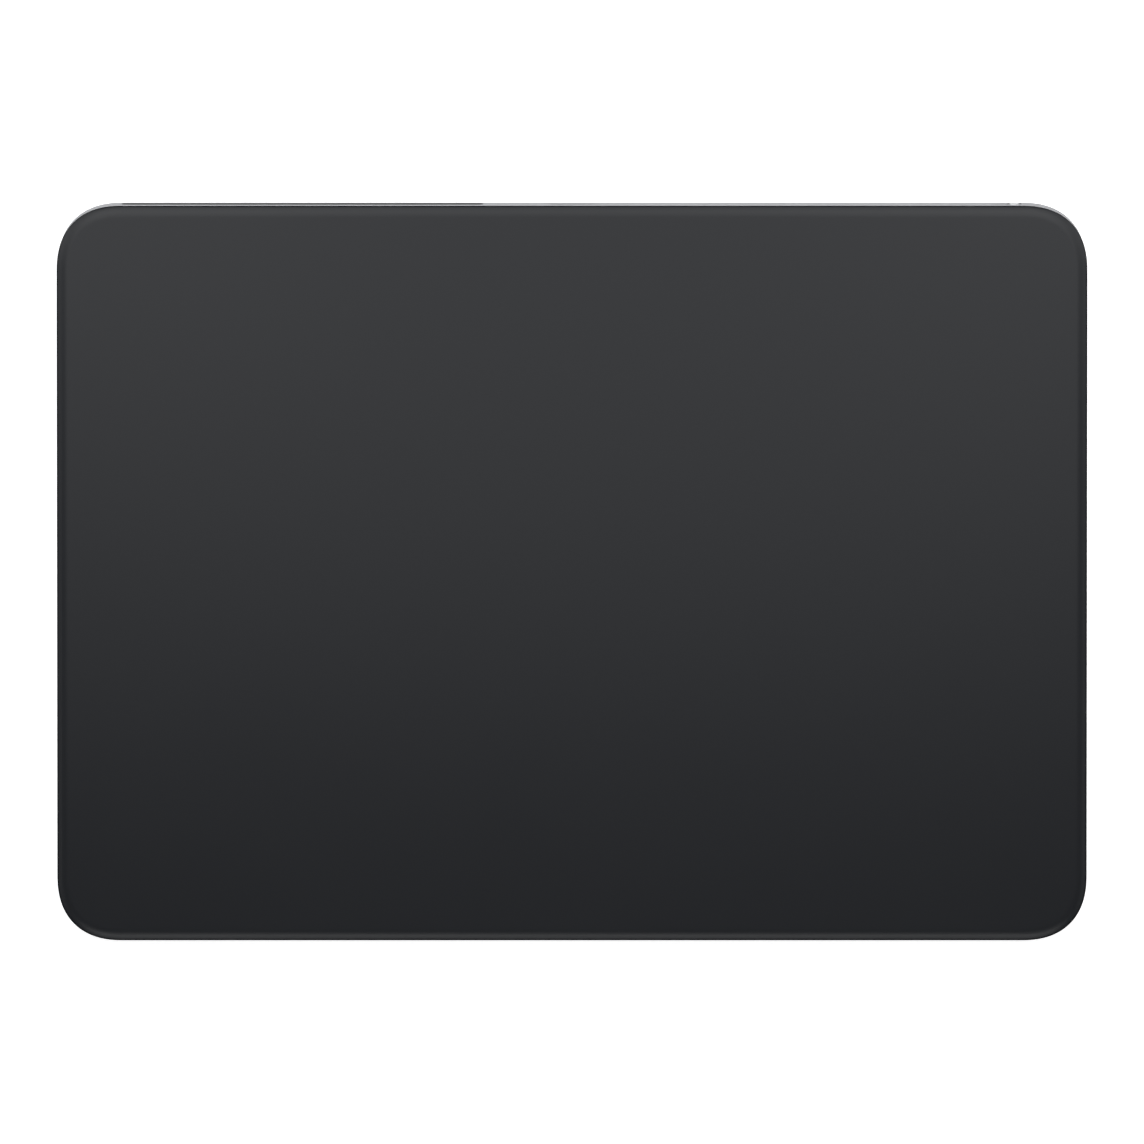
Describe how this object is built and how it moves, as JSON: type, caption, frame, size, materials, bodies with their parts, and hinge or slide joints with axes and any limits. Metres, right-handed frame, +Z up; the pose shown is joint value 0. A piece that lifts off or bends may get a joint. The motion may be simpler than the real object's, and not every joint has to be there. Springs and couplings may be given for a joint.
{
  "type": "wireless trackpad",
  "caption": "Wedge-shaped wireless desk trackpad: matte black glass that presses and shifts over an aluminium tray with a charging port, power switch and antenna window at the rear.",
  "frame": {"origin": "on the desk surface, under the centre of the trackpad's outline", "axes": "+X to the user's right along the long side, +Y to the rear edge with the port, +Z up from the desk"},
  "size_m": [0.16, 0.1146, 0.0109],
  "materials": {
    "black_glass": "etched matte, opaque black backing",
    "adhesive": "clear glue film",
    "circuit_board": "solder mask",
    "spring_steel": "rolled sheet",
    "core_steel": "laminated and varnished",
    "shield_can": "tinned sheet",
    "connector_plastic": "moulded",
    "flex_film": "polyimide film",
    "bead_blasted_aluminium": "bead-blasted and anodised",
    "gel": "soft gel",
    "screw_steel": "zinc-nickel plated",
    "battery_foil": "laminated foil pouch in dark film",
    "chip_plastic": "epoxy package",
    "shell_steel": "drawn stainless sleeve",
    "gold_contacts": "gold flash",
    "slider_metal": "bead-blasted and anodised",
    "antenna_plastic": "satin moulded",
    "cable_jacket": "extruded jacket",
    "foot_rubber": "matte",
    "copper_winding": "enamelled wire"
  },
  "bodies": {
    "chassis": {"touch_flex": "flex_film", "enclosure": "bead_blasted_aluminium", "stator_core": "core_steel", "stator_bracket": "spring_steel", "engine_screws": "screw_steel", "engine_flex": "flex_film", "battery_cell_left": "battery_foil", "battery_cell_right": "battery_foil", "battery_tapes": "adhesive", "cell_boards": "circuit_board", "battery_flexes": "flex_film", "logic_board": "circuit_board", "radio_shield": "shield_can", "logic_chips": "chip_plastic", "board_sockets": "connector_plastic", "logic_screws": "screw_steel", "port_shell": "shell_steel", "port_core": "connector_plastic", "port_contacts": "gold_contacts", "port_board": "circuit_board", "port_screws": "screw_steel", "port_flex": "flex_film", "slider_retainer": "spring_steel", "switch_body": "shield_can", "switch_board": "circuit_board", "switch_screws": "screw_steel", "switch_flex": "flex_film", "antenna_window": "antenna_plastic", "antenna_board": "circuit_board", "antenna_cable": "cable_jacket", "sensor_screws": "screw_steel", "foot_front_left": "foot_rubber", "foot_front_right": "foot_rubber", "foot_rear_left": "foot_rubber", "foot_rear_right": "foot_rubber", "sensor_mount_front_left": "spring_steel", "sensor_mount_front_right": "spring_steel", "sensor_mount_rear_left": "spring_steel", "sensor_mount_rear_right": "spring_steel", "stator_coil_1": "copper_winding", "stator_coil_2": "copper_winding", "stator_coil_3": "copper_winding"},
    "sensor_beams": {"sensor_beam_front_left": "spring_steel", "sensor_beam_front_right": "spring_steel", "sensor_beam_rear_left": "spring_steel", "sensor_beam_rear_right": "spring_steel", "sensor_pads": "gel", "strain_gauges": "flex_film"},
    "touch_plate": {"cover_glass": "black_glass", "glass_adhesive": "adhesive", "touch_board": "circuit_board", "stiffener_plate": "spring_steel", "touch_controller": "shield_can", "touch_socket": "connector_plastic", "attraction_bar": "core_steel"},
    "power_switch": {"power_slider": "slider_metal", "switch_actuator": "connector_plastic"}
  },
  "joints": [
    {"name": "plate_press", "type": "slide", "parent": "chassis", "child": "sensor_beams", "axis": [0, 0.0532, -0.9986], "range_m": [0, 0.0002], "stiffness_N_per_m": 8000, "springref_m": -0.0003, "deforming": ["touch_flex"]},
    {"name": "haptic_shift", "type": "slide", "parent": "sensor_beams", "child": "touch_plate", "axis": [1, 0, 0], "range_m": [-0.00015, 0.00015], "stiffness_N_per_m": 5000},
    {"name": "power_slide", "type": "slide", "parent": "chassis", "child": "power_switch", "axis": [-1, 0, 0], "range_m": [0, 0.0022]}
  ]
}
